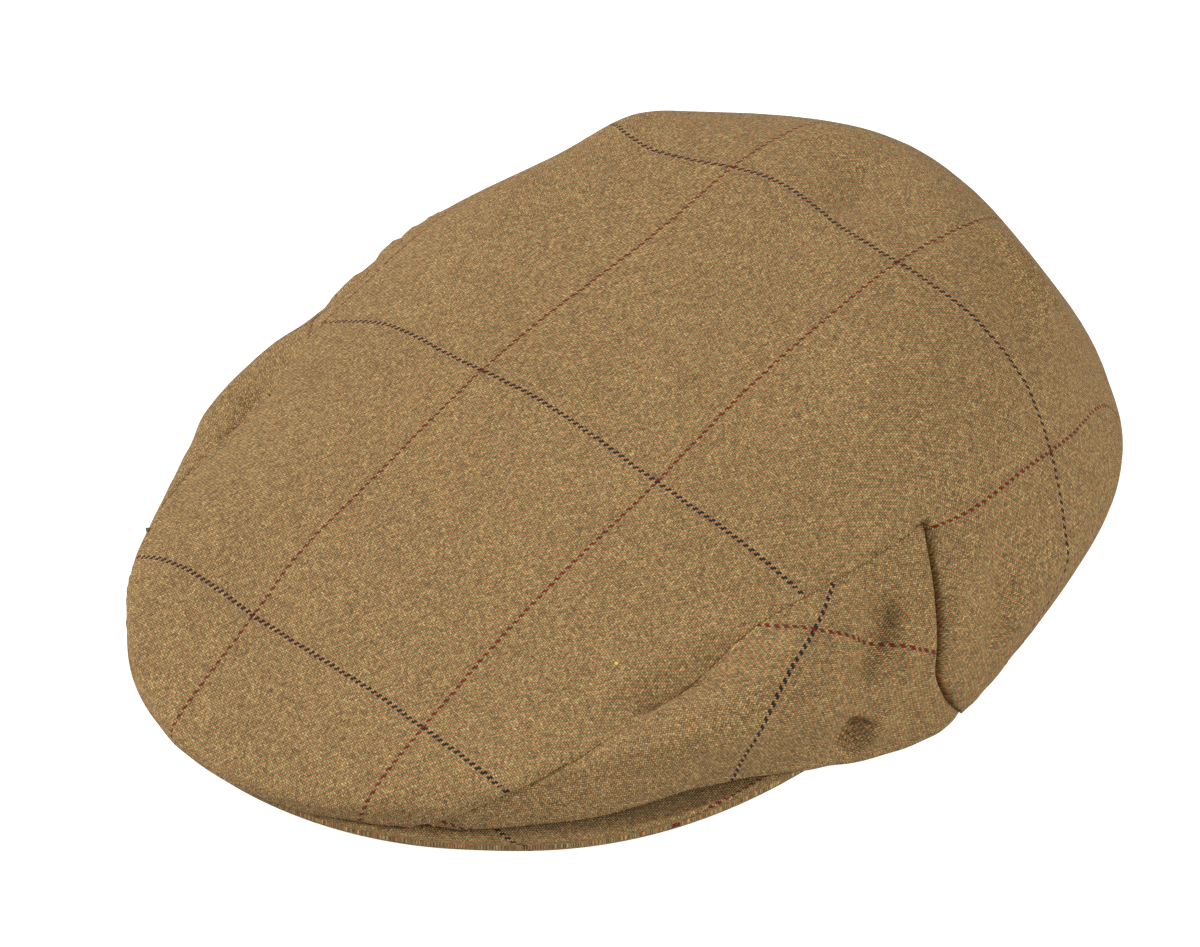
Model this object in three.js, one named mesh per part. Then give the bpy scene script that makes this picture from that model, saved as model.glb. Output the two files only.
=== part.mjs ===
// A flat cap of brown checked tweed, lying on its rim and peak as it would on a table.
// Millimetres, +Z up, origin on the table under the middle of the cap. The peak points
// towards -Y and the wearer's left is +X. The crown is three cloth walls sewn together:
// one long top panel and a wedge-shaped panel at each side. The stiff peak is under its front.

import * as THREE from 'three';

// Driving sizes of the crown.
const CROWN_LENGTH = 276;
const CROWN_WIDTH = 214;
const CROWN_HEIGHT = 86;
const CLOTH_WALL = 2.1;
const SEAM_GAP = 0.4;

// Driving sizes of the peak. Its ends stop PEAK_INSET inside the crown's widest line and
// PEAK_AHEAD in front of it, and its nose lies PEAK_SET_BACK behind the crown's.
const PEAK_INSET = 15;
const PEAK_AHEAD = 47.5;
const PEAK_SET_BACK = 3;
const PEAK_DEPTH = 50;
const PEAK_END = 7;
const PEAK_THICKNESS = 4;
const PEAK_ARCH = 3;
const PEAK_RISE = 9;
const PEAK_CLEARANCE = 0.57;
const PEAK_ROUNDNESS = 2.06;
// Degrees from the nose to where the peak's underside comes down to the table.
const PEAK_LANDS = 56;

// How finely the cloth is divided. FRONT_COLUMNS run from the nose to the side seam, and
// GRID_COLUMNS from the nose to the corner of the square grid in the middle of the top.
const GRID_COLUMNS = 12;
const FRONT_COLUMNS = 8;
const SIDE_COLUMNS = 17;
const EDGE_ROWS = 5;
const REAR_SEAM_ROWS = 8;
const PEAK_COLUMNS = 44;
const PEAK_ROWS = 5;
const PEAK_EDGE_ROWS = 3;

// Seen from above, the crown is two half superellipses that meet where it is widest.
const WIDEST_SHARE = 0.578;
const FRONT_ROUNDNESS = 1.82;
const BACK_ROUNDNESS = 1.88;

// The crown swells above its rim. Angles are degrees from the nose, the same on both sides.
// outline: share of the plan curve. widest: height of the widest line, share of CROWN_HEIGHT.
// lift: height of the lower edge, share of EDGE_HEIGHT. reach: lower edge, share of the outline.
const SECTIONS = [
  { angle: 0, outline: 1.035, widest: 0.155, lift: 1, reach: 0.985 },
  { angle: 15, outline: 1.045, widest: 0.17, lift: 1, reach: 0.985 },
  { angle: 32, outline: 1.042, widest: 0.21, lift: 0.99, reach: 0.990 },
  { angle: 55, outline: 1.01, widest: 0.28, lift: 0.91, reach: 0.990 },
  { angle: 72, outline: 1.0, widest: 0.30, lift: 0.25, reach: 1.0 },
  { angle: 82, outline: 1.0, widest: 0.30, lift: 0, reach: 1.0 },
  { angle: 93, outline: 1.0, widest: 0.30, lift: 0, reach: 0.940 },
  { angle: 108, outline: 0.992, widest: 0.295, lift: 0, reach: 0.910 },
  { angle: 125, outline: 1.005, widest: 0.285, lift: 0, reach: 0.900 },
  { angle: 150, outline: 1.01, widest: 0.26, lift: 0, reach: 0.880 },
  { angle: 180, outline: 1.005, widest: 0.24, lift: 0, reach: 0.855 },
];

// The ridge from front to back. along: share of CROWN_LENGTH. height: share of CROWN_HEIGHT
// that the dome would reach there if its edge weren't rounded.
const RIDGE = [
  { along: 0, height: 0.20 },
  { along: 0.1, height: 0.29 },
  { along: 0.35, height: 0.585 },
  { along: 0.60, height: 0.90 },
  { along: 0.73, height: 1.0 },
  { along: 0.86, height: 1.080 },
  { along: 1, height: 1.11 },
];
const DOME_FULLNESS = 3.6;
const DOME_SHOULDER = 1.06;

// The crown's front edge lies on the nose of the peak, and comes down to the table at the sides.
const EDGE_HEIGHT = PEAK_ARCH + PEAK_THICKNESS + PEAK_CLEARANCE;

// How far the fold at the widest line is rounded, and how far from it that is felt, in rows.
// FOLD_WEIGHTS: how much the rows beside a point count in its place, from the point outwards.
const FOLD_ROUNDING = 0.26;
const FOLD_SPREAD = 0.45;
const FOLD_WEIGHTS = [5, 4, 3, 2, 1];

// The side seam climbs from the lower edge at the front to its end above the rear seam.
// along: share of the seam. row: 0 is the lower edge, 1 the widest line and 2 the crown's middle.
// SIDE_TIP is the share of the first column where the side panel's tip is cut off.
const SEAM_START = 28.5;
const SEAM_END = 87;
const SEAM = [
  { along: 0, row: 0 },
  { along: 0.12, row: 0.62 },
  { along: 0.33, row: 1.17 },
  { along: 0.66, row: 1.36 },
  { along: 1, row: 1.37 },
];
const SIDE_TIP = 0.35;

// The rear seam sways forward half way down the side. lean: degrees added to SEAM_END.
const BACK_ROW = SEAM[SEAM.length - 1].row;
const REAR_SEAM = [
  { row: 0, lean: 0 },
  { row: 0.3, lean: -2.4 },
  { row: 0.8, lean: -4 },
  { row: 1.1, lean: -3 },
  { row: BACK_ROW, lean: 0 },
];
const REAR_SEAM_COLUMNS = 6;

// Soft dents (negative) and swellings of the cloth. angle and row: the middle.
// long, wide and deep: shares of CROWN_HEIGHT. turn: degrees from level round the crown.
const DENTS = [
  // Over the far side, where the top sags between the shoulder and the ridge.
  { angle: -101, row: 1.44, turn: 0, long: 0.28, wide: 0.28, deep: -0.032 },
  { angle: -122, row: 1.54, turn: 0, long: 0.15, wide: 0.2, deep: 0.032 },
  { angle: -148, row: 1.54, turn: 0, long: 0.3, wide: 0.22, deep: -0.020 },
  { angle: -82, row: 1.3, turn: 0, long: 0.11, wide: 0.25, deep: 0.010 },
  { angle: -60, row: 0.95, turn: 0, long: 0.10, wide: 0.2, deep: 0.008 },
  { angle: -49, row: 0.9, turn: 0, long: 0.10, wide: 0.2, deep: -0.016 },
  // The back: a sag below the top, a valley in it and a crease that runs down from it.
  { angle: 162, row: 1.36, turn: 0, long: 0.35, wide: 0.25, deep: -0.026 },
  { angle: 178, row: 1.72, turn: 90, long: 0.22, wide: 0.14, deep: -0.018 },
  { angle: 139, row: 1.36, turn: 70, long: 0.35, wide: 0.11, deep: 0.018 },
  { angle: 150, row: 1.24, turn: 70, long: 0.28, wide: 0.11, deep: -0.017 },
  // The near side: the sag above the seam, the wedge's swelling and its upright dent.
  { angle: 53, row: 1.40, turn: -8, long: 0.28, wide: 0.13, deep: -0.020 },
  { angle: 63, row: 0.95, turn: 0, long: 0.22, wide: 0.2, deep: 0.016 },
  { angle: 79, row: 1.25, turn: 80, long: 0.22, wide: 0.11, deep: -0.024 },
  { angle: 73, row: 0.35, turn: 60, long: 0.15, wide: 0.11, deep: 0.014 },
  { angle: 108, row: 0.62, turn: 8, long: 0.5, wide: 0.11, deep: 0.003 },
];

const radians = THREE.MathUtils.degToRad;

// A smooth curve through the rows of a table, which never swings past two of its rows.
// An angle table is mirrored at its ends, so its curve is level there.
function curveThrough(table, key, value, mirrored = false) {
  const xs = table.map((row) => row[key]);
  const ys = table.map((row) => row[value]);
  const last = xs.length - 1;
  const steps = xs.slice(1).map((x, i) => (ys[i + 1] - ys[i]) / (x - xs[i]));
  const slopes = xs.map((x, i) => {
    if (i === 0 || i === last) return mirrored ? 0 : steps[Math.min(i, last - 1)];
    const [before, after] = [steps[i - 1], steps[i]];
    return before * after > 0 ? (2 * before * after) / (before + after) : 0;
  });
  return (at) => {
    const x = THREE.MathUtils.clamp(at, xs[0], xs[last]);
    let i = 0;
    while (i < last - 1 && x > xs[i + 1]) i += 1;
    const h = xs[i + 1] - xs[i];
    const s = (x - xs[i]) / h;
    const a = (1 + 2 * s) * (1 - s) ** 2 * ys[i] + s * (1 - s) ** 2 * h * slopes[i];
    const b = s * s * (3 - 2 * s) * ys[i + 1] + s * s * (s - 1) * h * slopes[i + 1];
    return a + b;
  };
}

const outlineAt = curveThrough(SECTIONS, 'angle', 'outline', true);
const widestAt = curveThrough(SECTIONS, 'angle', 'widest', true);
const liftAt = curveThrough(SECTIONS, 'angle', 'lift', true);
const reachAt = curveThrough(SECTIONS, 'angle', 'reach', true);
const ridgeAt = curveThrough(RIDGE, 'along', 'height');
const seamAt = curveThrough(SEAM, 'along', 'row');
const rearLeanAt = curveThrough(REAR_SEAM, 'row', 'lean');

// Degrees from the nose, 0 to 180, whichever side the angle is on.
function offNose(angle) {
  const turn = ((angle % 360) + 360) % 360;
  return turn > 180 ? 360 - turn : turn;
}

const CROWN_FRONT = -CROWN_LENGTH / 2;
const WIDEST_Y = CROWN_FRONT + CROWN_LENGTH * WIDEST_SHARE;
const FRONT_SPAN = (WIDEST_Y - CROWN_FRONT) / outlineAt(0);
const BACK_SPAN = (CROWN_FRONT + CROWN_LENGTH - WIDEST_Y) / outlineAt(180);

// A point of the plan, at a share of the way from the crown's middle to its outline.
function planPoint(angle, share) {
  const s = Math.sin(radians(angle));
  const c = Math.cos(radians(angle));
  const roundness = c > 0 ? FRONT_ROUNDNESS : BACK_ROUNDNESS;
  const span = c > 0 ? FRONT_SPAN : BACK_SPAN;
  const k = (Math.abs(s) ** roundness + Math.abs(c) ** roundness) ** (-1 / roundness);
  const r = k * outlineAt(offNose(angle)) * share;
  return [(CROWN_WIDTH / 2) * s * r, WIDEST_Y - span * c * r];
}

// The crown with a sharp fold at its widest line. Rows 0 to 1 are the wall below the widest
// line, 1 to 2 the dome.
function foldedCrown(angle, row) {
  const off = offNose(angle);
  const widest = widestAt(off) * CROWN_HEIGHT;
  if (row < 1) {
    const edge = liftAt(off) * EDGE_HEIGHT;
    const reach = reachAt(off);
    const quarter = (Math.max(row, 0) * Math.PI) / 2;
    const [x, y] = planPoint(angle, reach + (1 - reach) * Math.sin(quarter));
    return new THREE.Vector3(x, y, edge + (widest - edge) * Math.max(row, 0));
  }
  const share = Math.max(Math.cos(((row - 1) * Math.PI) / 2), 0);
  const [x, y] = planPoint(angle, share);
  const ridge = ridgeAt((y - CROWN_FRONT) / CROWN_LENGTH) * CROWN_HEIGHT;
  const rise = Math.max(1 - share ** DOME_FULLNESS, 0) ** (1 / DOME_SHOULDER);
  return new THREE.Vector3(x, y, widest + (ridge - widest) * rise);
}

// The crown without its dents. The cloth rolls over the fold instead of creasing, so near the
// widest line each point is a mean over the rows beside it.
function plainCrown(angle, row) {
  const reach = FOLD_ROUNDING * Math.max(1 - ((row - 1) / FOLD_SPREAD) ** 2, 0);
  if (reach === 0) return foldedCrown(angle, row);
  const last = FOLD_WEIGHTS.length - 1;
  const mean = new THREE.Vector3();
  let weights = 0;
  for (let i = -last; i <= last; i += 1) {
    const weight = FOLD_WEIGHTS[Math.abs(i)];
    mean.addScaledVector(foldedCrown(angle, row + (reach * i) / last), weight);
    weights += weight;
  }
  return mean.divideScalar(weights);
}

// Angle and row of a point of the dome, from its place in the plan.
function domePlace(x, y) {
  const forward = WIDEST_Y - y;
  const span = forward > 0 ? FRONT_SPAN : BACK_SPAN;
  const s = x / (CROWN_WIDTH / 2);
  const c = forward / span;
  const roundness = c > 0 ? FRONT_ROUNDNESS : BACK_ROUNDNESS;
  const angle = THREE.MathUtils.radToDeg(Math.atan2(s, c));
  const size = (Math.abs(s) ** roundness + Math.abs(c) ** roundness) ** (1 / roundness);
  const share = Math.min(size / outlineAt(offNose(angle)), 1);
  return [angle, 1 + (Math.acos(share) * 2) / Math.PI];
}

// Outward direction of a surface given by angle and row. The steps are wide enough to round
// the fold at the widest line. Near the middle, where all the angles meet, they are taken
// along the plan instead.
const FLAT_ROWS = [1.35, 1.65];
const ROW_STEP = 0.1;
const ANGLE_STEP = 1.5;
const PLAN_STEP = CLOTH_WALL;
function outward(surface, angle, row) {
  const flat = THREE.MathUtils.smoothstep(row, ...FLAT_ROWS);
  const normal = new THREE.Vector3();
  if (flat > 0) {
    const { x, y } = plainCrown(angle, row);
    const [left, right] = [domePlace(x - PLAN_STEP, y), domePlace(x + PLAN_STEP, y)];
    const [front, back] = [domePlace(x, y - PLAN_STEP), domePlace(x, y + PLAN_STEP)];
    const across = surface(...right).sub(surface(...left));
    const up = surface(...back).sub(surface(...front));
    normal.addScaledVector(across.cross(up).normalize(), flat);
  }
  if (flat < 1) {
    const across = surface(angle + ANGLE_STEP, row).sub(surface(angle - ANGLE_STEP, row));
    const up = surface(angle, row + ROW_STEP).sub(surface(angle, Math.max(row - ROW_STEP, 0)));
    normal.addScaledVector(across.cross(up).normalize(), 1 - flat);
  }
  return normal.normalize();
}

// Each dent's middle and directions, worked out once.
const dents = DENTS.map((dent) => {
  const middle = plainCrown(dent.angle, dent.row);
  const normal = outward(plainCrown, dent.angle, dent.row);
  const level = new THREE.Vector3(0, 0, 1).cross(normal).normalize();
  const along = level.applyAxisAngle(normal, radians(dent.turn));
  return { ...dent, middle, normal, along, across: normal.clone().cross(along) };
});

// The crown with its dents, which fade out just above the lower edge.
const DENT_FADE_ROWS = 0.4;
function crown(angle, row) {
  const point = plainCrown(angle, row);
  const normal = outward(plainCrown, angle, row);
  let depth = 0;
  for (const dent of dents) {
    const from = point.clone().sub(dent.middle);
    const long = from.dot(dent.along) / (dent.long * CROWN_HEIGHT);
    const wide = from.dot(dent.across) / (dent.wide * CROWN_HEIGHT);
    const facing = Math.max(normal.dot(dent.normal), 0);
    depth += dent.deep * CROWN_HEIGHT * facing * Math.exp(-long * long - wide * wide);
  }
  const fade = Math.min(row / DENT_FADE_ROWS, 1);
  return point.addScaledVector(normal, depth * fade);
}

// A closed cloth wall from outer points and the quads between them, wound anticlockwise
// seen from outside. The inner skin lies CLOTH_WALL further in along each point's own normal.
// Each quad is split along its shorter diagonal. Those of the wall's edge are split from their
// lower or front outer corner, so that two walls which meet at a seam are split alike.
function clothShell(points, quads) {
  const count = points.length;
  const inner = points.map(({ at, normal }) => at.clone().addScaledVector(normal, -CLOTH_WALL));
  const vertices = [...points.map(({ at }) => at), ...inner];
  const triangles = [];
  const edges = new Set(quads.flatMap((quad) => quad.map((v, i) => `${v},${quad[(i + 1) % 4]}`)));
  for (const [a, b, c, d] of quads) {
    const fromA = points[a].at.distanceTo(points[c].at) <= points[b].at.distanceTo(points[d].at);
    const halves = fromA ? [[a, b, c], [a, c, d]] : [[a, b, d], [b, c, d]];
    for (const [p, q, r] of halves) triangles.push([p, q, r], [r + count, q + count, p + count]);
    for (const [from, to] of [[a, b], [b, c], [c, d], [d, a]]) {
      if (edges.has(`${to},${from}`)) continue;
      const climb = points[to].at.clone().sub(points[from].at);
      if (climb.y + 2 * climb.z > 0) {
        triangles.push([to, from, to + count], [from, from + count, to + count]);
      } else {
        triangles.push([to, from, from + count], [to, from + count, to + count]);
      }
    }
  }
  return solid(vertices, triangles);
}

function solid(vertices, triangles) {
  const geometry = new THREE.BufferGeometry();
  const flat = vertices.flatMap((v) => v.toArray());
  geometry.setAttribute('position', new THREE.Float32BufferAttribute(flat, 3));
  geometry.setIndex(triangles.flat());
  geometry.computeVertexNormals();
  return geometry;
}

// Quads of a grid of point numbers, rows from the top down, columns in order of angle.
function gridQuads(rows) {
  const quads = [];
  for (let r = 0; r + 1 < rows.length; r += 1) {
    for (let c = 0; c + 1 < rows[r].length; c += 1) {
      quads.push([rows[r][c], rows[r + 1][c], rows[r + 1][c + 1], rows[r][c + 1]]);
    }
  }
  return quads;
}

// The columns run round the crown from the nose, and land on each end of each side seam.
const COLUMNS = 8 * GRID_COLUMNS;
const SEAM_END_COLUMN = FRONT_COLUMNS + SIDE_COLUMNS;
function columnAngle(column) {
  const turn = ((column % COLUMNS) + COLUMNS) % COLUMNS;
  const half = COLUMNS / 2;
  const near = turn > half ? COLUMNS - turn : turn;
  let angle;
  if (near < FRONT_COLUMNS) {
    angle = (SEAM_START * near) / FRONT_COLUMNS;
  } else if (near < SEAM_END_COLUMN) {
    angle = SEAM_START + ((SEAM_END - SEAM_START) * (near - FRONT_COLUMNS)) / SIDE_COLUMNS;
  } else {
    angle = SEAM_END + ((180 - SEAM_END) * (near - SEAM_END_COLUMN)) / (half - SEAM_END_COLUMN);
  }
  return turn > half ? 360 - angle : angle;
}

// The row where the dome part of the top panel ends: the lower edge at the front, the side
// seam at the sides, and the seam's top all round the back.
function seamRow(angle) {
  const off = offNose(angle);
  if (off <= SEAM_START) return 0;
  if (off >= SEAM_END) return BACK_ROW;
  return seamAt((off - SEAM_START) / (SEAM_END - SEAM_START));
}

// The cloth's outward direction. It is level at the lower edge, so that the wall ends flat.
function clothNormal(angle, row) {
  const normal = outward(crown, angle, row);
  return row === 0 ? normal.setZ(0).normalize() : normal;
}

// A point of the cloth. At a seam the point stands off by half the gap, and the normal is the
// seam's own, so that the two walls that meet there stay side by side through their thickness.
function crownPoint(angle, row, seamAngle = angle, seam = row) {
  return { at: crown(angle, row), normal: clothNormal(seamAngle, seam) };
}

// Row just above or below a seam, by half its gap.
const SEAM_ROW_STEP = 0.05;
function besideSeam(angle, row, side) {
  if (row <= 0) return 0;
  const step = side * SEAM_ROW_STEP;
  const length = crown(angle, row).distanceTo(crown(angle, row + step));
  return row + (step * SEAM_GAP) / 2 / length;
}

// Angle just in front of or behind the rear seam, by half its gap.
const SEAM_ANGLE_STEP = 0.5;
function besideRearSeam(angle, row, side) {
  const length = crown(angle, row).distanceTo(crown(angle + SEAM_ANGLE_STEP, row));
  return angle + (side * SEAM_ANGLE_STEP * SEAM_GAP) / 2 / length;
}

// The column in some direction of the grid. Each side of its square takes a quarter of them.
const ROUNDING = 1e-9;
function gridColumn(direction) {
  const s = Math.SQRT2 * Math.sin(direction);
  const c = Math.SQRT2 * Math.cos(direction);
  if (c >= 1 - ROUNDING) return s * GRID_COLUMNS;
  if (c <= -1 + ROUNDING) return (4 - s) * GRID_COLUMNS;
  return (s > 0 ? 2 - c : 6 + c) * GRID_COLUMNS;
}

// Row where the square grid gives way to rows that follow the edge. It is further out at the
// grid's corners, so that they stay corners, and further in over the seams and the back.
const GRID_END = 1.25;
const GRID_CORNERS = 0.2;
const GRID_BEHIND_SEAM = 0.28;
function gridEndRow(column) {
  const corner = (1 + Math.cos((column * Math.PI) / GRID_COLUMNS)) / 2;
  const behind = seamRow(columnAngle(column)) / BACK_ROW;
  return GRID_END + GRID_CORNERS * corner + GRID_BEHIND_SEAM * behind ** 2;
}

function topPanel() {
  const size = 2 * GRID_COLUMNS;
  const points = [];
  const add = (...place) => points.push(crownPoint(...place)) - 1;
  const grid = [];
  const rim = new Array(COLUMNS);
  for (let b = 0; b <= size; b += 1) {
    const line = [];
    for (let a = 0; a <= size; a += 1) {
      const u = (2 * a) / size - 1;
      const v = (2 * b) / size - 1;
      const x = u * Math.sqrt(1 - (v * v) / 2);
      const y = v * Math.sqrt(1 - (u * u) / 2);
      const column = gridColumn(Math.atan2(x, y));
      const share = Math.hypot(x, y) * Math.cos(((gridEndRow(column) - 1) * Math.PI) / 2);
      line.push(add(columnAngle(column), 1 + (Math.acos(share) * 2) / Math.PI));
      const onRim = a === 0 || b === 0 || a === size || b === size;
      if (onRim) rim[(Math.round(column) + COLUMNS) % COLUMNS] = line[a];
    }
    grid.push(line);
  }
  const quads = gridQuads(grid);

  // Rows from the grid to the front edge, the side seams and the top of the back.
  const rows = [[...rim, rim[0]]];
  for (let r = 1; r <= EDGE_ROWS; r += 1) {
    const line = [];
    for (let column = 0; column < COLUMNS; column += 1) {
      const angle = columnAngle(column);
      const off = offNose(angle);
      const onSeam = off > SEAM_START && off < SEAM_END;
      const seam = seamRow(angle);
      const start = gridEndRow(column);
      const row = start + ((seam - start) * r) / EDGE_ROWS;
      if (r < EDGE_ROWS || !onSeam) line.push(add(angle, row));
      else line.push(add(angle, besideSeam(angle, seam, 1), angle, seam));
    }
    line.push(line[0]);
    rows.push(line);
  }
  quads.push(...gridQuads(rows));

  // Down the back to the rim, from one rear seam to the other.
  const back = [rows[EDGE_ROWS].slice(SEAM_END_COLUMN, COLUMNS - SEAM_END_COLUMN + 1)];
  for (let r = 1; r <= REAR_SEAM_ROWS; r += 1) {
    const row = BACK_ROW * (1 - r / REAR_SEAM_ROWS);
    back.push(back[0].map((_, i) => {
      const fromEnd = Math.min(i, back[0].length - 1 - i);
      const side = i === fromEnd ? 1 : -1;
      const sway = Math.max(1 - fromEnd / REAR_SEAM_COLUMNS, 0) * rearLeanAt(row);
      const angle = columnAngle(SEAM_END_COLUMN + i) + side * sway;
      if (fromEnd > 0) return add(angle, row);
      return add(besideRearSeam(angle, row, side), row, angle, row);
    }));
  }
  quads.push(...gridQuads(back));
  return clothShell(points, quads);
}

// side is 1 at the wearer's left and -1 at the wearer's right.
function sidePanel(side) {
  const points = [];
  const rows = [];
  const firstAngle = columnAngle(FRONT_COLUMNS + 1);
  const tipAngle = THREE.MathUtils.lerp(SEAM_START, firstAngle, SIDE_TIP);
  const tipRow = seamRow(firstAngle) * SIDE_TIP;
  const tipNormal = clothNormal(side * SEAM_START, 0);
  tipNormal.lerp(clothNormal(side * firstAngle, seamRow(firstAngle)), SIDE_TIP).normalize();
  for (let r = 0; r <= REAR_SEAM_ROWS; r += 1) {
    const line = [];
    for (let i = 0; i <= SIDE_COLUMNS; i += 1) {
      const atTip = i === 0;
      let off = atTip ? tipAngle : columnAngle(FRONT_COLUMNS + i);
      const seam = atTip ? tipRow : seamRow(off);
      const down = 1 - r / REAR_SEAM_ROWS;
      const row = besideSeam(side * off, seam, -1) * down;
      off += rearLeanAt(row) * (i / SIDE_COLUMNS) ** 2;
      const stop = i === SIDE_COLUMNS ? besideRearSeam(off, row, -1) : off;
      const point = crownPoint(side * stop, row, side * off, seam * down);
      if (atTip && r === 0) point.normal = tipNormal;
      line.push(points.push(point) - 1);
    }
    rows.push(side > 0 ? line : line.reverse());
  }
  return clothShell(points, gridQuads(rows));
}

// The peak seen from above. turn: -90 to 90 degrees. share: 0 at the outer edge, 1 inside.
function peakPlan(turn, share) {
  const s = Math.sin(radians(turn));
  const c = Math.cos(radians(turn));
  const k = (Math.abs(s) ** PEAK_ROUNDNESS + Math.abs(c) ** PEAK_ROUNDNESS) ** (-1 / PEAK_ROUNDNESS);
  const halfWidth = CROWN_WIDTH / 2 - PEAK_INSET - PEAK_END * share;
  const endY = WIDEST_Y - PEAK_AHEAD;
  const length = endY - CROWN_FRONT - PEAK_SET_BACK - PEAK_DEPTH * share;
  return [halfWidth * s * k, endY - length * c * k];
}

// Height of the peak's underside. It lies on the table at its sides, and its nose stands clear.
function peakUnder(turn, share) {
  const nose = Math.cos((Math.min(Math.abs(turn) / PEAK_LANDS, 1) * Math.PI) / 2);
  return (PEAK_ARCH + (PEAK_RISE - PEAK_ARCH) * share) * nose ** 2;
}

function peakSolid() {
  const vertices = [];
  const triangles = [];
  // Round the section: out along the top, round the outer edge and back along the underside.
  const half = PEAK_THICKNESS / 2;
  const depthAt = (turn) => {
    const [x0, y0] = peakPlan(turn, 0);
    const [x1, y1] = peakPlan(turn, 1);
    return Math.hypot(x1 - x0, y1 - y0);
  };
  const section = (turn) => {
    const around = [];
    const edge = half / depthAt(turn);
    for (let i = 0; i <= PEAK_ROWS; i += 1) around.push([1 + (edge - 1) * (i / PEAK_ROWS), 1]);
    for (let i = 1; i < PEAK_EDGE_ROWS; i += 1) {
      const lean = (i * Math.PI) / PEAK_EDGE_ROWS;
      around.push([edge * (1 - Math.sin(lean)), Math.cos(lean)]);
    }
    for (let i = 0; i <= PEAK_ROWS; i += 1) around.push([edge + (1 - edge) * (i / PEAK_ROWS), -1]);
    return around.map(([share, rise]) => {
      const [x, y] = peakPlan(turn, share);
      return new THREE.Vector3(x, y, peakUnder(turn, share) + half * (1 + rise));
    });
  };
  const size = section(0).length;
  for (let i = 0; i <= PEAK_COLUMNS; i += 1) {
    vertices.push(...section(-90 + (180 * i) / PEAK_COLUMNS));
  }
  for (let i = 0; i < PEAK_COLUMNS; i += 1) {
    for (let j = 0; j < size; j += 1) {
      const a = i * size + j;
      const b = i * size + ((j + 1) % size);
      triangles.push([a, b, b + size], [a, b + size, a + size]);
    }
  }
  const last = PEAK_COLUMNS * size;
  for (let j = 1; j + 1 < size; j += 1) {
    triangles.push([0, j + 1, j], [last, last + j, last + j + 1]);
  }
  return solid(vertices, triangles);
}

const CLOTH = { metalness: 0, roughness: 0.95 };
function piece(name, geometry, colour) {
  const mesh = new THREE.Mesh(geometry, new THREE.MeshStandardMaterial({ ...CLOTH, color: colour }));
  mesh.name = name;
  return mesh;
}

const cap = new THREE.Group();
cap.add(piece('top_panel', topPanel(), 0x9a7f56));
cap.add(piece('side_panel_left', sidePanel(1), 0x917554));
cap.add(piece('side_panel_right', sidePanel(-1), 0x917554));
cap.add(piece('peak', peakSolid(), 0x8d7150));

export default cap;
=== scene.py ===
# A flat cap of brown twill tweed with a thin dark and maroon overcheck, at rest on a pale floor.
# Blender 4.5, metres, +Z up. The peak points towards -Y and the wearer's left is +X.

import math

import bmesh
import bpy
import numpy as np
from mathutils import Matrix, Vector, noise
from mathutils.bvhtree import BVHTree
from mathutils.interpolate import poly_3d_calc


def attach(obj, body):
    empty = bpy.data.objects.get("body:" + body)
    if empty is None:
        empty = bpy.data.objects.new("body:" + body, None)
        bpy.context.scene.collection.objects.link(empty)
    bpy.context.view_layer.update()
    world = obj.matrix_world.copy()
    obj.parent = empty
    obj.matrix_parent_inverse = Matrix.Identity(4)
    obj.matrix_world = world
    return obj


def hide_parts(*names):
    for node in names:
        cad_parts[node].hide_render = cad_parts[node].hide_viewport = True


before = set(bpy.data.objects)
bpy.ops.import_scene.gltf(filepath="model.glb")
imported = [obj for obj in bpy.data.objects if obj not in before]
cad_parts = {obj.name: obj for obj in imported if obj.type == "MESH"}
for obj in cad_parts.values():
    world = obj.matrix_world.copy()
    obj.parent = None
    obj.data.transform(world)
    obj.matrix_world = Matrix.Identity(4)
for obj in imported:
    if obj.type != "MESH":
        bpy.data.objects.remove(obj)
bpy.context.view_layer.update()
MM = 0.001

# The camera looks down on the wearer's left front, from far enough off to keep the lines of
# the cap nearly parallel.
CAMERA_TURN = math.radians(46.3)
CAMERA_RISE = math.radians(35.7)
CAMERA_DISTANCE = 1.506
CAMERA_AIM = Vector((0.0074, -0.0146, 0.035))
FOCAL_PIXELS = 6184
PICTURE_WIDTH = 1200

to_camera = Vector((
    math.sin(CAMERA_TURN) * math.cos(CAMERA_RISE),
    -math.cos(CAMERA_TURN) * math.cos(CAMERA_RISE),
    math.sin(CAMERA_RISE),
))
camera = bpy.data.objects.new("camera", bpy.data.cameras.new("camera"))
camera.data.lens = camera.data.sensor_width * FOCAL_PIXELS / PICTURE_WIDTH
camera.data.clip_end = 10
camera.location = CAMERA_AIM + to_camera * CAMERA_DISTANCE
camera.rotation_mode = "QUATERNION"
camera.rotation_quaternion = to_camera.to_track_quat("Z", "Y")
bpy.context.collection.objects.link(camera)
bpy.context.scene.camera = camera


# The studio is a table of white acrylic, lit from below, under a white sky. One large soft lamp
# stands before the wearer's right and a weaker one on the wearer's left.
def srgb(red, green, blue):
    """A colour read off a screen, as the linear colour that a shader takes."""
    parts = [c / 255 for c in (red, green, blue)]
    linear = [c / 12.92 if c <= 0.04045 else ((c + 0.055) / 1.055) ** 2.4 for c in parts]
    return (*linear, 1)


def feed(tree, socket, value):
    """Links a socket to a socket, or sets it to a value."""
    if isinstance(value, bpy.types.NodeSocket):
        tree.links.new(value, socket)
    else:
        socket.default_value = value


def blend_colours(tree, share, first, second, way="MIX"):
    """The first colour where share is 0 and the second where it is 1."""
    mix = tree.nodes.new("ShaderNodeMix")
    mix.data_type = "RGBA"
    mix.blend_type = way
    feed(tree, mix.inputs[0], share)
    feed(tree, mix.inputs[6], first)
    feed(tree, mix.inputs[7], second)
    return mix.outputs[2]


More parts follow.
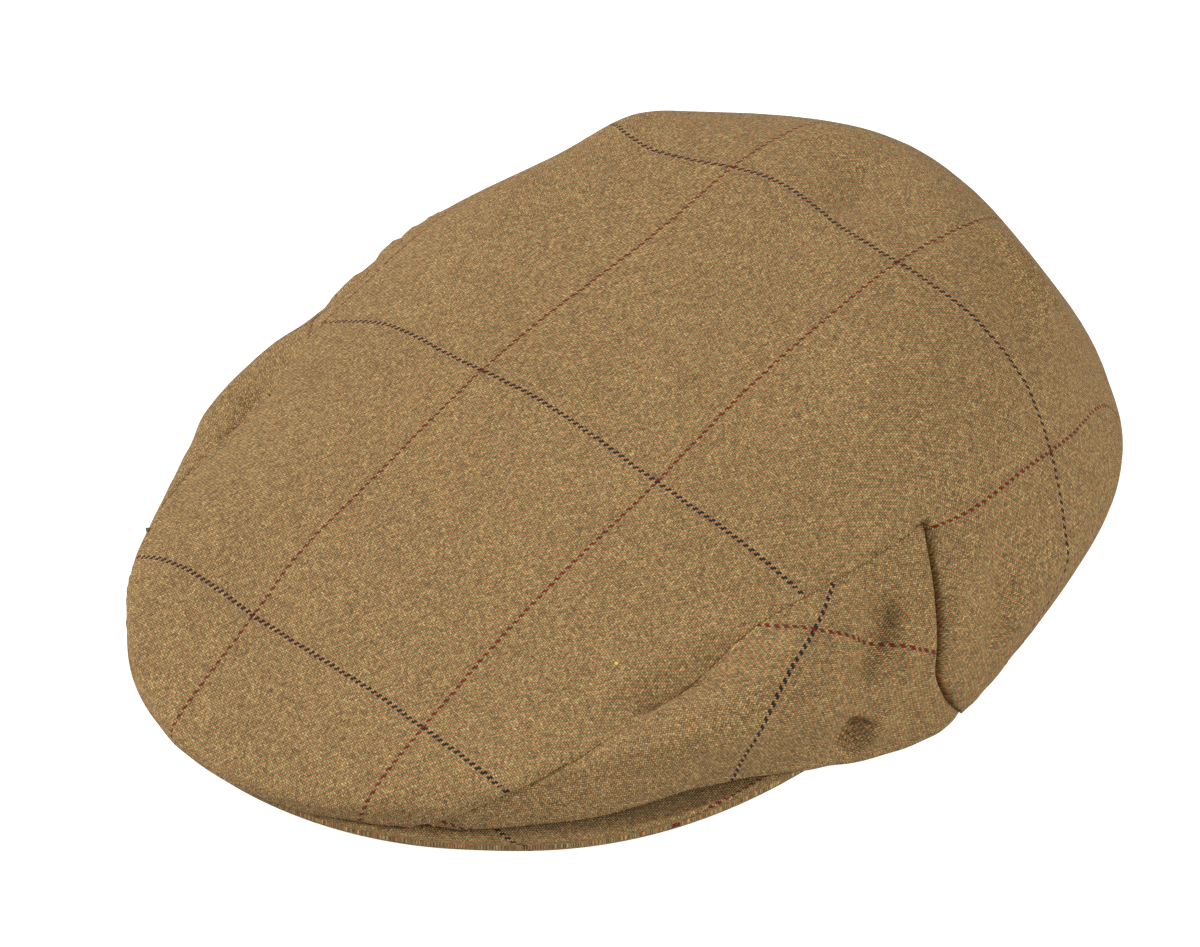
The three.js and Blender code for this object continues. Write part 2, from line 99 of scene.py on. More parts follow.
FLOOR_SIZE = 12
FLOOR_DROP = 0.1 * MM
FLOOR_COLOUR = (180, 180, 179)
FLOOR_GLOW = (0.06, 0.06, 0.06, 1)
BURNT_OUT = (1, 1, 1, 1)
SKY_STRENGTH = 0.38
LAMPS = [
    {"name": "front lamp", "place": (-1.40, -1.45, 1.30), "size": 1.4, "watts": 56},
    {"name": "side lamp", "place": (2.10, 0.60, 0.85), "size": 1.3, "watts": 35},
]

floor_mesh = bmesh.new()
bmesh.ops.create_grid(floor_mesh, x_segments=1, y_segments=1, size=FLOOR_SIZE / 2)
bmesh.ops.translate(floor_mesh, verts=floor_mesh.verts, vec=(0, 0, -FLOOR_DROP))
floor = bpy.data.objects.new("floor", bpy.data.meshes.new("floor"))
floor_mesh.to_mesh(floor.data)
floor_mesh.free()
bpy.context.collection.objects.link(floor)
floor_paint = bpy.data.materials.new("floor paint")
floor_paint.use_nodes = True
floor_shader = floor_paint.node_tree.nodes["Principled BSDF"]
floor_shader.inputs["Base Color"].default_value = srgb(*FLOOR_COLOUR)
floor_shader.inputs["Roughness"].default_value = 0.9
floor_shader.inputs["Specular IOR Level"].default_value = 0.1
floor_shader.inputs["Emission Strength"].default_value = 1
# The camera's exposure burns the table out to plain white.
rays = floor_paint.node_tree.nodes.new("ShaderNodeLightPath")
burnt = blend_colours(floor_paint.node_tree, rays.outputs["Is Camera Ray"], FLOOR_GLOW, BURNT_OUT)
floor_paint.node_tree.links.new(burnt, floor_shader.inputs["Emission Color"])
floor.data.materials.append(floor_paint)

for lamp in LAMPS:
    light = bpy.data.lights.new(lamp["name"], "AREA")
    light.shape = "DISK"
    light.size = lamp["size"]
    light.energy = lamp["watts"]
    lamp_object = bpy.data.objects.new(lamp["name"], light)
    lamp_object.location = lamp["place"]
    lamp_object.rotation_mode = "QUATERNION"
    lamp_object.rotation_quaternion = Vector(lamp["place"]).to_track_quat("Z", "Y")
    bpy.context.collection.objects.link(lamp_object)

world = bpy.data.worlds.new("white sky")
world.use_nodes = True
world.node_tree.nodes["Background"].inputs["Color"].default_value = (1, 1, 1, 1)
world.node_tree.nodes["Background"].inputs["Strength"].default_value = SKY_STRENGTH
bpy.context.scene.world = world
bpy.context.scene.view_settings.view_transform = "Standard"
bpy.context.scene.cycles.use_denoising = False


# The tweed: wool yarns of mixed fibres in a twill that goes over two threads and under two. The
# warp is rust and tan, the weft sage and gold. Two dark weft threads and two maroon warp threads
# make the overcheck. Lengths on the cloth are in mm.
WARP_PITCH = 0.447
WEFT_PITCH = 0.527
WARPS_IN_CHECK = 134
WEFTS_IN_CHECK = 159
DARK_THREADS = 2
MAROON_THREADS = 2
CHECK_ACROSS = WARP_PITCH * WARPS_IN_CHECK
CHECK_ALONG = WEFT_PITCH * WEFTS_IN_CHECK
WARP_WOOLS = [
    (0.00, (128, 94, 64)),
    (0.30, (158, 114, 76)),
    (0.55, (170, 127, 82)),
    (0.75, (182, 140, 91)),
    (1.00, (198, 160, 108)),
]
WEFT_WOOLS = [
    (0.00, (106, 97, 71)),
    (0.30, (136, 118, 79)),
    (0.55, (151, 130, 84)),
    (0.75, (163, 144, 94)),
    (1.00, (190, 166, 110)),
]
DARK_WOOL = (31, 40, 41)
MAROON_WOOL = (124, 38, 26)
SLUB_WOOL = (236, 200, 70)
FLOAT_SHARE = 0.32
CROSSING_SHARE = 0.68
THREAD_SWAY = 0.8
YARN_ARCH = 0.6
# The painted shade between the yarns: how dark they are where they dive, and how much lighter where they
# rise.
DIVE_PAINTED_SHADE = 0.26
RISE_PAINTED_SHADE = 0.95
FIBRE_SHADE = 0.24
FIBRE_RELIEF = 0.3
SPECK = 0.22
TONE = 0.12
BLUSH = 0.11
SLUB_SIZE = 0.022


def calc(tree, operation, *values):
    math_step = tree.nodes.new("ShaderNodeMath")
    math_step.operation = operation
    for socket, value in zip(math_step.inputs, values):
        feed(tree, socket, value)
    return math_step.outputs[0]


def vector_of(tree, x, y, z=0.0):
    joined = tree.nodes.new("ShaderNodeCombineXYZ")
    for socket, value in zip(joined.inputs, (x, y, z)):
        feed(tree, socket, value)
    return joined.outputs[0]


def cloud(tree, vector, scale, detail=2.0):
    soft = tree.nodes.new("ShaderNodeTexNoise")
    feed(tree, soft.inputs["Vector"], vector)
    soft.inputs["Scale"].default_value = scale
    soft.inputs["Detail"].default_value = detail
    return soft.outputs[0]


def chance(tree, vector):
    """A number from 0 to 1 for each whole number of a vector's parts."""
    white = tree.nodes.new("ShaderNodeTexWhiteNoise")
    white.noise_dimensions = "3D"
    feed(tree, white.inputs["Vector"], vector)
    return white.outputs["Value"]


def wool_colours(tree, share, wools):
    ramp = tree.nodes.new("ShaderNodeValToRGB")
    feed(tree, ramp.inputs[0], share)
    stops = ramp.color_ramp.elements
    while len(stops) < len(wools):
        stops.new(0.5)
    for stop, (place, colour) in zip(stops, wools):
        stop.position = place
        stop.color = srgb(*colour)
    return ramp.outputs[0]


def twill_weave():
    """Turns a place on the cloth, in mm, into the colour and height of its yarns."""
    tree = bpy.data.node_groups.new("Twill weave", "ShaderNodeTree")
    tree.interface.new_socket("Cloth", in_out="INPUT", socket_type="NodeSocketVector")
    tree.interface.new_socket("Color", in_out="OUTPUT", socket_type="NodeSocketColor")
    tree.interface.new_socket("Height", in_out="OUTPUT", socket_type="NodeSocketFloat")
    cloth = tree.nodes.new("NodeGroupInput").outputs["Cloth"]
    ends = tree.nodes.new("NodeGroupOutput")

    parts = tree.nodes.new("ShaderNodeSeparateXYZ")
    tree.links.new(cloth, parts.inputs[0])
    sway = calc(tree, "MULTIPLY_ADD", cloud(tree, cloth, 0.16), 2 * THREAD_SWAY, -THREAD_SWAY)
    across = calc(tree, "ADD", calc(tree, "DIVIDE", parts.outputs[0], WARP_PITCH), sway)
    along = calc(tree, "ADD", calc(tree, "DIVIDE", parts.outputs[1], WEFT_PITCH), sway)
    warp = calc(tree, "FLOOR", across)
    weft = calc(tree, "FLOOR", along)
    in_warp = calc(tree, "SUBTRACT", across, warp)
    in_weft = calc(tree, "SUBTRACT", along, weft)
    step = calc(tree, "FLOORED_MODULO", calc(tree, "SUBTRACT", warp, weft), 4.0)
    warp_shows = calc(tree, "LESS_THAN", step, 1.5)

    # Each float of two threads shows another mix of fibres.
    lead = calc(tree, "SUBTRACT", weft, warp)
    warp_float = calc(tree, "FLOOR", calc(tree, "MULTIPLY_ADD", lead, 0.25, 0.25))
    weft_float = calc(tree, "FLOOR", calc(tree, "MULTIPLY_ADD", lead, -0.25, -0.5))
    crossing = vector_of(tree, warp, weft, 3.0)
    warp_mix = calc(tree, "MULTIPLY", chance(tree, vector_of(tree, warp, warp_float, 0.0)), FLOAT_SHARE)
    weft_mix = calc(tree, "MULTIPLY", chance(tree, vector_of(tree, weft_float, weft, 7.0)), FLOAT_SHARE)
    warp_mix = calc(tree, "MULTIPLY_ADD", chance(tree, crossing), CROSSING_SHARE, warp_mix)
    weft_mix = calc(tree, "MULTIPLY_ADD", chance(tree, crossing), CROSSING_SHARE, weft_mix)
    warp_colour = wool_colours(tree, warp_mix, WARP_WOOLS)
    weft_colour = wool_colours(tree, weft_mix, WEFT_WOOLS)

    warp_in_check = calc(tree, "FLOORED_MODULO", warp, float(WARPS_IN_CHECK))
    weft_in_check = calc(tree, "FLOORED_MODULO", weft, float(WEFTS_IN_CHECK))
    maroon = calc(tree, "LESS_THAN", warp_in_check, MAROON_THREADS - 0.5)
    dark = calc(tree, "LESS_THAN", weft_in_check, DARK_THREADS - 0.5)
    warp_colour = blend_colours(tree, maroon, warp_colour, srgb(*MAROON_WOOL))
    weft_colour = blend_colours(tree, dark, weft_colour, srgb(*DARK_WOOL))
    colour = blend_colours(tree, warp_shows, weft_colour, warp_colour)

    # A yarn is round across, and arches over the two threads that it floats on.
    warp_arch = calc(tree, "DIVIDE", calc(tree, "SUBTRACT", calc(tree, "ADD", in_weft, 1.0), step), 2.0)
    weft_arch = calc(tree, "DIVIDE", calc(tree, "ADD", calc(tree, "SUBTRACT", step, 2.0), in_warp), 2.0)
    warp_round = calc(tree, "SINE", calc(tree, "MULTIPLY", in_warp, math.pi))
    weft_round = calc(tree, "SINE", calc(tree, "MULTIPLY", in_weft, math.pi))
    warp_rise = calc(tree, "SINE", calc(tree, "MULTIPLY", warp_arch, math.pi))
    weft_rise = calc(tree, "SINE", calc(tree, "MULTIPLY", weft_arch, math.pi))
    warp_bow = calc(tree, "MULTIPLY_ADD", warp_rise, YARN_ARCH, 1 - YARN_ARCH)
    weft_bow = calc(tree, "MULTIPLY_ADD", weft_rise, YARN_ARCH, 1 - YARN_ARCH)
    warp_height = calc(tree, "MULTIPLY", warp_round, warp_bow)
    weft_height = calc(tree, "MULTIPLY", weft_round, weft_bow)
    lift = tree.nodes.new("ShaderNodeMix")
    feed(tree, lift.inputs[0], warp_shows)
    feed(tree, lift.inputs[2], weft_height)
    feed(tree, lift.inputs[3], warp_height)
    height = lift.outputs[0]

    # The yarns are painted darker where they dive under each other, a painted shade between them on top of
    # the bump, and loose fibres blur them.
    fibres = cloud(tree, cloth, 5.0, 3.0)
    speck = calc(tree, "MULTIPLY_ADD", chance(tree, vector_of(tree, warp, weft, 5.0)), 2 * SPECK, -SPECK)
    shade = calc(tree, "MULTIPLY_ADD", height, RISE_PAINTED_SHADE, DIVE_PAINTED_SHADE)
    shade = calc(tree, "ADD", shade, calc(tree, "MULTIPLY", fibres, FIBRE_SHADE))
    shade = calc(tree, "ADD", shade, speck)
    tone = calc(tree, "MULTIPLY_ADD", cloud(tree, cloth, 0.03, 3.0), 2 * TONE, 1 - TONE)
    shade = calc(tree, "MULTIPLY", shade, tone)
    # The dye takes a little more red here and a little less there.
    blush = calc(tree, "MULTIPLY_ADD", cloud(tree, cloth, 0.55, 3.0), 2 * BLUSH, -BLUSH)
    redder = calc(tree, "MULTIPLY_ADD", shade, blush, shade)
    greener = calc(tree, "MULTIPLY_ADD", shade, calc(tree, "MULTIPLY", blush, -0.5), shade)
    # The painted shade, the random tone and the dye's blush are multiplied into the yarns' colour.
    colour = blend_colours(tree, 1.0, colour, vector_of(tree, redder, greener, shade), "MULTIPLY")

    # Rare yellow slubs.
    slubs = tree.nodes.new("ShaderNodeTexVoronoi")
    tree.links.new(cloth, slubs.inputs["Vector"])
    slubs.inputs["Scale"].default_value = 0.05
    near = calc(tree, "LESS_THAN", slubs.outputs["Distance"], SLUB_SIZE)
    colour = blend_colours(tree, near, colour, srgb(*SLUB_WOOL))

    tree.links.new(colour, ends.inputs["Color"])
    tree.links.new(calc(tree, "MULTIPLY_ADD", fibres, FIBRE_RELIEF, height), ends.inputs["Height"])
    return tree


weave = twill_weave()
WEAVE_RELIEF = 0.16 * MM
WOOL_SHEEN = (222, 180, 140)


def tweed(name):
    """Tweed laid by a piece's own map of the cloth, which is in mm."""
    material = bpy.data.materials.new(name)
    material.use_nodes = True
    tree = material.node_tree
    shader = tree.nodes["Principled BSDF"]
    place = tree.nodes.new("ShaderNodeUVMap")
    place.uv_map = "cloth"
    yarns = tree.nodes.new("ShaderNodeGroup")
    yarns.node_tree = weave
    relief = tree.nodes.new("ShaderNodeBump")
    relief.inputs["Strength"].default_value = 0.8
    relief.inputs["Distance"].default_value = WEAVE_RELIEF
    tree.links.new(place.outputs[0], yarns.inputs["Cloth"])
    tree.links.new(yarns.outputs["Height"], relief.inputs["Height"])
    tree.links.new(relief.outputs[0], shader.inputs["Normal"])
    tree.links.new(yarns.outputs["Color"], shader.inputs["Base Color"])
    shader.inputs["Roughness"].default_value = 0.92
    shader.inputs["Specular IOR Level"].default_value = 0.2
    shader.inputs["Sheen Weight"].default_value = 0.22
    shader.inputs["Sheen Roughness"].default_value = 0.45
    shader.inputs["Sheen Tint"].default_value = srgb(*WOOL_SHEEN)
    return material


panel_tweed = tweed("panel tweed")


# The crown's cloth: the top panel and a wedge at each side, cut from one tweed and sewn
# together. Each is taken from its solid as the outer face of the wall, made finer and shaped.
WELD = 0.001 * MM
WALL_TURN = math.radians(45)
FLAT_BELOW = -0.8
CORNER_TURN = math.radians(35)
FACES_FOR_GRAIN = 12


def outer_skin(node, outward):
    """The outside of a CAD wall as quads, found from the face that lies furthest outward."""
    skin = bmesh.new()
    skin.from_mesh(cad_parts[node].data)
    bmesh.ops.remove_doubles(skin, verts=skin.verts, dist=WELD)
    facing = [f for f in skin.faces if f.normal.dot(outward) > 0.5]
    first = max(facing, key=lambda f: f.calc_center_median().dot(outward))
    found = {first}
    waiting = [first]
    while waiting:
        for edge in waiting.pop().edges:
            if edge.calc_face_angle() > WALL_TURN:
                continue
            fresh = [f for f in edge.link_faces if f not in found and f.normal.z > FLAT_BELOW]
            found.update(fresh)
            waiting.extend(fresh)
    bmesh.ops.delete(skin, geom=[f for f in skin.faces if f not in found], context="FACES")
    bmesh.ops.join_triangles(
        skin, faces=skin.faces, angle_face_threshold=math.pi, angle_shape_threshold=math.pi
    )
    return skin


def mark_corners(skin):
    """Keeps the corners of a panel's outline sharp when it is made finer."""
    sharp = skin.verts.layers.float.new("crease_vert")
    for vert in skin.verts:
        rim = [e.other_vert(vert).co - vert.co for e in vert.link_edges if e.is_boundary]
        if len(rim) == 2 and rim[0].angle(-rim[1]) > CORNER_TURN:
            vert[sharp] = 1


def as_object(mesh_in_work, name):
    made = bpy.data.objects.new(name, bpy.data.meshes.new(name))
    mesh_in_work.to_mesh(made.data)
    mesh_in_work.free()
    bpy.context.collection.objects.link(made)
    return made


def flatten(piece):
    """Lays the piece's skin out flat with as little stretch as it can."""
    bpy.ops.object.select_all(action="DESELECT")
    piece.select_set(True)
    bpy.context.view_layer.objects.active = piece
    bpy.ops.object.mode_set(mode="EDIT")
    bpy.ops.mesh.select_all(action="SELECT")
    bpy.ops.uv.unwrap(method="MINIMUM_STRETCH", fill_holes=False, correct_aspect=False, margin=0)
    bpy.ops.object.mode_set(mode="OBJECT")
    piece.data.uv_layers[0].name = "cloth"


def places_of(mesh):
    return np.array([v.co for v in mesh.vertices])


def lay_cloth(piece, at, grain):
    """Scales the flat map to mm, turns it so that the warp runs along grain near a point of the
    piece, and shifts it so that the point is the cloth's origin."""
    mesh = piece.data
    flat = mesh.uv_layers["cloth"].data
    uv = np.array([corner.uv for corner in flat])
    co = places_of(mesh)
    true_length = 0
    flat_length = 0
    nearness = []
    for face in mesh.polygons:
        corners = list(face.loop_indices)
        verts = list(face.vertices)
        for k in range(len(corners)):
            true_length += np.linalg.norm(co[verts[k]] - co[verts[k - 1]])
            flat_length += np.linalg.norm(uv[corners[k]] - uv[corners[k - 1]])
        nearness.append((np.linalg.norm(np.array(face.center) - np.array(at)), face.index))
    scale = true_length / flat_length / MM
    nearness.sort()
    lean = np.zeros(2)
    for _, index in nearness[:FACES_FOR_GRAIN]:
        face = mesh.polygons[index]
        corners = list(face.loop_indices)
        verts = list(face.vertices)
        sides = np.array([co[verts[1]] - co[verts[0]], co[verts[2]] - co[verts[0]]])
        turns = np.array([uv[corners[1]] - uv[corners[0]], uv[corners[2]] - uv[corners[0]]])
        normal = np.array(face.normal)
        level = np.array(grain) - normal * np.dot(grain, normal)
        shares = np.linalg.lstsq(sides.T, level, rcond=None)[0]
        way = shares @ turns
        lean += way / np.linalg.norm(way)
    lean /= np.linalg.norm(lean)
    turn = np.array([[lean[1], lean[0]], [-lean[0], lean[1]]])
    uv = uv @ turn * scale
    nearest = mesh.polygons[nearness[0][1]]
    verts = list(nearest.vertices)
    gaps = [np.linalg.norm(co[v] - np.array(at)) for v in verts]
    weights = np.array([1 / (gap + WELD) ** 2 for gap in gaps])
    here = (uv[list(nearest.loop_indices)] * weights[:, None]).sum(0) / weights.sum()
    uv -= here
    flat.foreach_set("uv", uv.ravel())


def make_finer(piece, levels):
    finer = piece.modifiers.new("finer", "SUBSURF")
    finer.levels = levels
    finer.render_levels = levels
    finer.boundary_smooth = "PRESERVE_CORNERS"
    finer.uv_smooth = "PRESERVE_CORNERS_JUNCTIONS_AND_CONCAVE"
    seen = piece.evaluated_get(bpy.context.evaluated_depsgraph_get())
    fine = bpy.data.meshes.new_from_object(seen)
    piece.modifiers.clear()
    piece.data = fine


# The wearer's right side is the left one's twin.
PANELS = [
    {
        "node": "top_panel", "outward": Vector((0, 0, 1)),
        "at": (-0.0215, -0.026, 0.056), "grain": (0, 1, 0), "levels": 2,
    },
    {
        "node": "side_panel_left", "outward": Vector((1, 0, 0)),
        "at": (0.0895, -0.022, 0.037), "grain": (0.45, 0.85, -0.28), "levels": 3,
    },
    {
        "node": "side_panel_right", "outward": Vector((1, 0, 0)), "twin": "side_panel_left",
        "at": (-0.0895, -0.022, 0.037), "grain": (-0.45, 0.85, -0.28), "levels": 3,
    },
]
panels = {}
for row in PANELS:
    skin = outer_skin(row.get("twin", row["node"]), row["outward"])
    if "twin" in row:
        bmesh.ops.scale(skin, verts=skin.verts, vec=(-1, 1, 1))
        bmesh.ops.reverse_faces(skin, faces=skin.faces)
    mark_corners(skin)
    panel = as_object(skin, row["node"] + "_cloth")
    flatten(panel)
    lay_cloth(panel, row["at"], row["grain"])
    make_finer(panel, row["levels"])
    panels[row["node"]] = panel


# Seams and edges. The panels are sewn right sides together and turned, so each rolls in at its
# seam. The front edge is turned under and topstitched, and so is the hem round the rim.
SEAM_REACH = 1.5 * MM
REAR_SEAM_STEEP = 0.6
REAR_SEAM_BEHIND = -0.01
ROW_PULL = 0.62
ROW_PULL_REACH = 5 * MM
TIP_REACH = 9 * MM
TIP_TUCK = 1.6 * MM
TIP_LEAN = (0.6, 0.8)
POINTS_AT_ONCE = 1000
FREE_EDGE, SIDE_SEAM, REAR_SEAM = 0, 1, 2


def nearest_on(points, starts, ends):
    """For each point: its distance to a set of straight lines, and the nearest place on them."""
    gaps = np.full(len(points), np.inf)
    spots = np.zeros((len(points), 3))
    sides = ends - starts
    lengths = np.maximum((sides * sides).sum(1), WELD ** 2)
    for first in range(0, len(points), POINTS_AT_ONCE):
        last = first + POINTS_AT_ONCE
        part = points[first:last]
        share = (((part[:, None] - starts[None]) * sides[None]).sum(2) / lengths[None]).clip(0, 1)
        spot = starts[None] + share[..., None] * sides[None]
        gap = np.linalg.norm(spot - part[:, None], axis=2)
        best = gap.argmin(1)
        rows = np.arange(len(part))
        gaps[first:last] = gap[rows, best]
        spots[first:last] = spot[rows, best]
    return gaps, spots


def normals_of(mesh):
    return np.array([n.vector for n in mesh.vertex_normals])


def bell(x, wide):
    """Falls smoothly from 1 at 0 to a third at wide."""
    return np.exp(-((x / wide) ** 2))


def ramp(x, low, high):
    """Rises smoothly from 0 at low to 1 at high."""
    share = ((x - low) / (high - low)).clip(0, 1)
    return share * share * (3 - 2 * share)


def read_panel(piece):
    """The panel's points, their places on the cloth, its faces and its border as arrays."""
    mesh = piece.data
    co = places_of(mesh)
    cloth = np.zeros((len(co), 2))
    flat = mesh.uv_layers["cloth"].data
    for loop in mesh.loops:
        cloth[loop.vertex_index] = flat[loop.index].uv
    uses = {}
    for face in mesh.polygons:
        for key in face.edge_keys:
            uses[key] = uses.get(key, 0) + 1
    border = np.array([key for key, count in uses.items() if count == 1])
    faces = [tuple(face.vertices) for face in mesh.polygons]
    return {"piece": piece, "co": co, "cloth": cloth, "faces": faces, "border": border}


def write_panel(panel):
    mesh = panel["piece"].data
    mesh.vertices.foreach_set("co", panel["co"].ravel())
    corners = [loop.vertex_index for loop in mesh.loops]
    mesh.uv_layers["cloth"].data.foreach_set("uv", panel["cloth"][corners].ravel())
    mesh.update()


SIDE_SEAM_SOFT = (-95 * MM, -66 * MM, 0.22)
REAR_SEAM_FADE = (-2 * MM, 9 * MM)
SEAM_SHUT = 1.5


def seam_strength(co, kind):
    """The side seam is crisp over the peak and hardly shows behind it. The rear seam is pressed
    flat where the hem crosses it."""
    if kind == SIDE_SEAM:
        start, end, rest = SIDE_SEAM_SOFT
        return 1 - (1 - rest) * ramp(co[:, 1], start, end)
    if kind == REAR_SEAM:
        return ramp(co[:, 2], *REAR_SEAM_FADE)
    return np.ones(len(co))


crown = {name: read_panel(piece) for name, piece in panels.items()}

# The two edges of a seam meet halfway between the solids, which stand a little apart.
seam_ends = {}
for name, panel in crown.items():
    others = [p for n, p in crown.items() if n != name]
    starts = np.concatenate([p["co"][p["border"][:, 0]] for p in others])
    ends = np.concatenate([p["co"][p["border"][:, 1]] for p in others])
    rim = np.unique(panel["border"])
    gap, spot = nearest_on(panel["co"][rim], starts, ends)
    seam_ends[name] = (rim, gap < SEAM_REACH, spot)
for name, (rim, joined, spot) in seam_ends.items():
    panel = crown[name]
    co = panel["co"]
    kind = np.full(len(co), FREE_EDGE)
    rise_along = np.zeros(len(co))
    for a, b in panel["border"]:
        way = co[b] - co[a]
        steep = abs(way[2]) / np.linalg.norm(way)
        rise_along[[a, b]] = np.maximum(rise_along[[a, b]], steep)
    for v, together in zip(rim, joined):
        if together:
            at_rear = rise_along[v] > REAR_SEAM_STEEP and co[v][1] > REAR_SEAM_BEHIND
            kind[v] = REAR_SEAM if at_rear else SIDE_SEAM
    panel["kind"] = kind
    panel["before"] = co.copy()
    own = co[rim]
    co[rim] = own + (spot - own) * (SEAM_SHUT / 2 * joined)[:, None]


def border_lines(panel, kind):
    """The straight lines of the panel's border that are of one kind."""
    kinds = panel["kind"][panel["border"]]
    chosen = panel["border"][(kinds == kind).any(1)]
    return panel["co"][chosen[:, 0]], panel["co"][chosen[:, 1]]


def draw_rows_to_edge(panel):
    """Moves the rows by an edge closer to it, so that its roll has faces to bend."""
    co = panel["co"]
    inside = np.ones(len(co), bool)
    inside[np.unique(panel["border"])] = False
    gap, spot = nearest_on(co, co[panel["border"][:, 0]], co[panel["border"][:, 1]])
    pull = ROW_PULL * bell(gap, ROW_PULL_REACH)
    co[inside] += (spot - co)[inside] * pull[inside, None]
    tree = BVHTree.FromPolygons([Vector(v) for v in panel["before"]], panel["faces"])
    cloth = panel["cloth"].copy()
    for v in np.nonzero(inside & (gap < 3 * ROW_PULL_REACH))[0]:
        place, _, face, _ = tree.find_nearest(Vector(co[v]))
        corners = panel["faces"][face]
        shares = poly_3d_calc([Vector(panel["before"][c]) for c in corners], place)
        cloth[v] = sum(share * panel["cloth"][c] for share, c in zip(shares, corners))
    panel["cloth"] = cloth


def run_to_tip(panel):
    """Tucks a side's narrow tip under the top panel's edge and lays its cloth as it runs there."""
    co = panel["co"]
    tip = co[co[:, 1].argmin()].copy()
    away = np.linalg.norm(co - tip, axis=1)
    near = away < TIP_REACH
    ring = ~near & (away < 2.5 * TIP_REACH)
    inward = np.array([-np.sign(tip[0]) * TIP_LEAN[0], TIP_LEAN[1], 0])
    share = (1 - ramp(away, 0, TIP_REACH))[:, None]
    co += inward * TIP_TUCK * share
    panel["tip"] = tip
    level = np.c_[co, np.ones(len(co))]
    slopes = np.linalg.lstsq(level[ring], panel["cloth"][ring], rcond=None)[0]
    panel["cloth"][near] = level[near] @ slopes


# How the cloth stands by an edge: mm from the edge, how wide and how high, inwards below 0.
EDGE_SHAPES = {
    ("top", FREE_EDGE): [(0, 0.9, -0.3), (2.9, 0.7, -0.22)],
    ("top", SIDE_SEAM): [(0, 0.8, -0.7), (2.2, 1.6, 0.35), (3.6, 0.7, -0.2)],
    ("top", REAR_SEAM): [(0, 0.9, -2.3), (3.0, 2.0, 0.5)],
    ("side", FREE_EDGE): [(0, 0.9, -0.3), (2.3, 0.7, -0.22)],
    ("side", SIDE_SEAM): [(0, 1.2, -1.0), (1.5, 2.6, -0.25)],
    ("side", REAR_SEAM): [(0, 0.9, -2.3), (2.6, 1.8, 0.35)],
}
# Folds and dents of the worn cloth, as points of the picture that they pass, with their width
# and rise in mm, and how much of them the unseen side has.
FOLDS = [
    # The crease that runs down the back from the top's shoulder, between two hollows.
    (
        [(985, 226), (996, 237), (1008, 253), (1018, 269), (1030, 286), (1042, 302), (1052, 318)],
        2.2, 2.4, 0,
    ),
    ([(1003, 230), (1022, 252), (1038, 273), (1051, 292), (1064, 312), (1082, 338)], 2.8, -2.6, 0),
    ([(1000, 290), (1016, 312), (1026, 335), (1040, 362)], 6, -2.0, 0),
    # The valley in the top of the back.
    ([(905, 143), (880, 152), (865, 172), (853, 195), (835, 215)], 8, -3.4, 0),
    ([(806, 146), (828, 141), (850, 138)], 2.5, -1.2, 0),
    # The sag along the side seam, with a crease in it and the long bulge of the side under it.
    ([(560, 758), (600, 735), (640, 710)], 3.5, -1.7, 0.4),
    ([(618, 714), (650, 692), (682, 675), (712, 659), (742, 641)], 4.0, -3.8, 0.4),
    ([(636, 711), (660, 698), (682, 687), (704, 678), (724, 671)], 1.5, -1.8, 0.4),
    ([(655, 748), (700, 730), (740, 706), (775, 678), (800, 652), (822, 628)], 6.0, 2.6, 0.7),
    # The ridge and the hollow behind the rear seam.
    ([(985, 512), (975, 535), (966, 560), (957, 590), (955, 612)], 2.6, 2.4, 0.7),
    ([(1012, 540), (1004, 590), (998, 635), (992, 665)], 4.5, -2.8, 0.7),
    # The roll of cloth low along the back.
    ([(985, 668), (1022, 618), (1060, 562), (1090, 515)], 4.0, 1.2, 0.7),
    # The folds before the rear seam.
    ([(844, 628), (854, 607), (863, 590)], 3.0, 1.6, 0.6),
    ([(882, 582), (884, 605), (878, 635), (868, 665), (858, 695)], 4.2, -3.6, 0.6),
    ([(906, 598), (911, 620), (912, 642), (906, 668)], 3.2, 2.0, 0.7),
    # The pocket over the peak's end.
    ([(866, 718), (857, 734), (847, 748), (836, 758)], 3.6, -5.6, 0.8),
    ([(886, 712), (878, 732), (868, 748)], 3.0, 1.6, 0.8),
]
FOLD_END = 0.25
RIPPLES = [(38, 0.45), (15, 0.14), (6, 0.05)]
RIPPLES_FROM_EDGE = 8
PUCKER_LENGTH = 8
PUCKER_REACH = 7
PUCKER_RISE = 0.45
PICTURE_HEIGHT = 947


def seen_at(tree, x, y):
    """The place on a surface that the camera sees at a point of the picture, if it is there."""
    turn = camera.rotation_quaternion
    way = turn @ Vector((x - PICTURE_WIDTH / 2, PICTURE_HEIGHT / 2 - y, -FOCAL_PIXELS))
    return tree.ray_cast(camera.location, way.normalized())[0]


def path_on(tree, picture_points):
    return np.array([p for p in (seen_at(tree, x, y) for x, y in picture_points) if p])


MIRROR = np.array([-1, 1, 1])


def panel_tree(panel):
    return BVHTree.FromPolygons([Vector(v) for v in panel["co"]], panel["faces"])


def crown_tree():
    """All panels as one surface for rays."""
    points = []
    faces = []
    for panel in crown.values():
        first = len(points)
        points.extend(Vector(v) for v in panel["co"])
        faces.extend(tuple(first + c for c in face) for face in panel["faces"])
    return BVHTree.FromPolygons(points, faces)


# The crown's edge lies on the middle of the peak and stands off it before the temples.
EDGE_ON_PEAK = (22, 46)
EDGE_DROP = (2.7, 1.3)
EDGE_OUT = (0.4, 1.3)
EDGE_TOP = (8 * MM, 24 * MM)
EDGE_END = (55 * MM, 85 * MM)
HEAD_MIDDLE = (0, -0.03)
# The rim stands off the table over the peak's ends.
RIM_LIFT = 2.0
RIM_LIFT_AT = -42
RIM_LIFT_WIDE = 20
RIM_LIFT_TOP = (0.006, 0.02)


